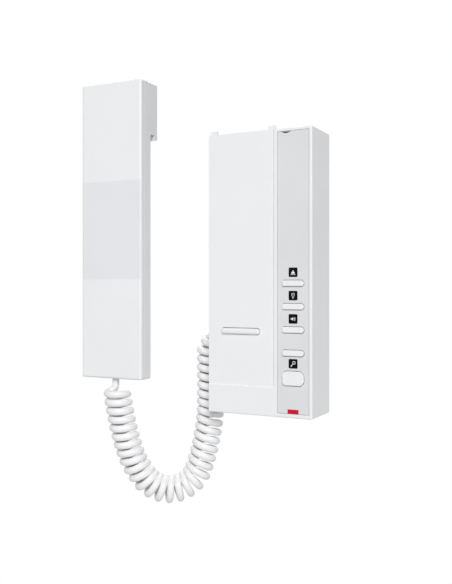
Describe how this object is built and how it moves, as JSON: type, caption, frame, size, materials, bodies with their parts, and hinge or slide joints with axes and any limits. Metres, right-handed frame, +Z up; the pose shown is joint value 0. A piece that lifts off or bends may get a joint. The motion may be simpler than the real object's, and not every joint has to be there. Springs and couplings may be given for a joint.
{
  "type": "audio intercom handset",
  "caption": "Slim white wall intercom with a lifted flat handset, a curly cord, a hook bar in its bed and a narrow grey panel of call buttons with icon tiles.",
  "frame": {"origin": "middle of the base's back face, on the wall", "axes": "+X to the right, +Y into the wall, +Z up"},
  "size_m": [0.1823, 0.0532, 0.3174],
  "materials": {
    "shell": "white moulded plastic with a fine satin grain",
    "panel": "light grey satin plastic insert",
    "grip": "very light grey satin inlay",
    "button": "white button caps",
    "tile": "black tiles with white symbols",
    "light": "clear red light window",
    "board": "green circuit board",
    "dark": "dark moulded components",
    "steel": "plain plated steel",
    "seal": "soft black foam and rubber",
    "cord": "white smooth flexible cord jacket"
  },
  "bodies": {
    "base": {"front_cover": "shell", "wall_plate": "shell", "button_panel": "panel", "icon_tiles": "tile", "status_light": "light", "status_led": "button", "circuit_board": "board", "key_switches": "dark", "hook_switch": "dark", "terminal_block": "dark", "ringer_speaker": "dark", "cover_screw": "steel", "board_screws": "steel", "hook_pivot_pin": "steel", "base_cord_bush": "cord", "curly_cord": "cord"},
    "hook": {"hook_lever": "shell"},
    "pill_button_1": {"pill_button_1": "button"},
    "pill_button_2": {"pill_button_2": "button"},
    "pill_button_3": {"pill_button_3": "button"},
    "pill_button_4": {"pill_button_4": "button"},
    "door_button": {"door_button": "button"},
    "handset": {"handset_front": "shell", "handset_back": "shell", "grip_inlay": "grip", "ear_speaker": "steel", "ear_gasket": "seal", "microphone": "steel", "microphone_boot": "seal", "handset_cord_bush": "cord", "handset_screws": "steel"}
  },
  "joints": [
    {"name": "handset_slide", "type": "slide", "parent": "base", "child": "handset", "axis": [1, 0, 0], "range_m": [-0.1, 0.1023]},
    {"name": "hook_press", "type": "hinge", "parent": "base", "child": "hook", "pos_m": [-0.0143, -0.0292, -0.0732], "axis": [-1, 0, 0], "range_deg": [0, 3.5], "stiffness_Nm_per_rad": 0.4},
    {"name": "pill_button_1_press", "type": "slide", "parent": "base", "child": "pill_button_1", "axis": [0, 1, 0], "range_m": [0, 0.001], "stiffness_N_per_m": 800},
    {"name": "pill_button_2_press", "type": "slide", "parent": "base", "child": "pill_button_2", "axis": [0, 1, 0], "range_m": [0, 0.001], "stiffness_N_per_m": 800},
    {"name": "pill_button_3_press", "type": "slide", "parent": "base", "child": "pill_button_3", "axis": [0, 1, 0], "range_m": [0, 0.001], "stiffness_N_per_m": 800},
    {"name": "pill_button_4_press", "type": "slide", "parent": "base", "child": "pill_button_4", "axis": [0, 1, 0], "range_m": [0, 0.001], "stiffness_N_per_m": 800},
    {"name": "door_button_press", "type": "slide", "parent": "base", "child": "door_button", "axis": [0, 1, 0], "range_m": [0, 0.001], "stiffness_N_per_m": 800}
  ]
}
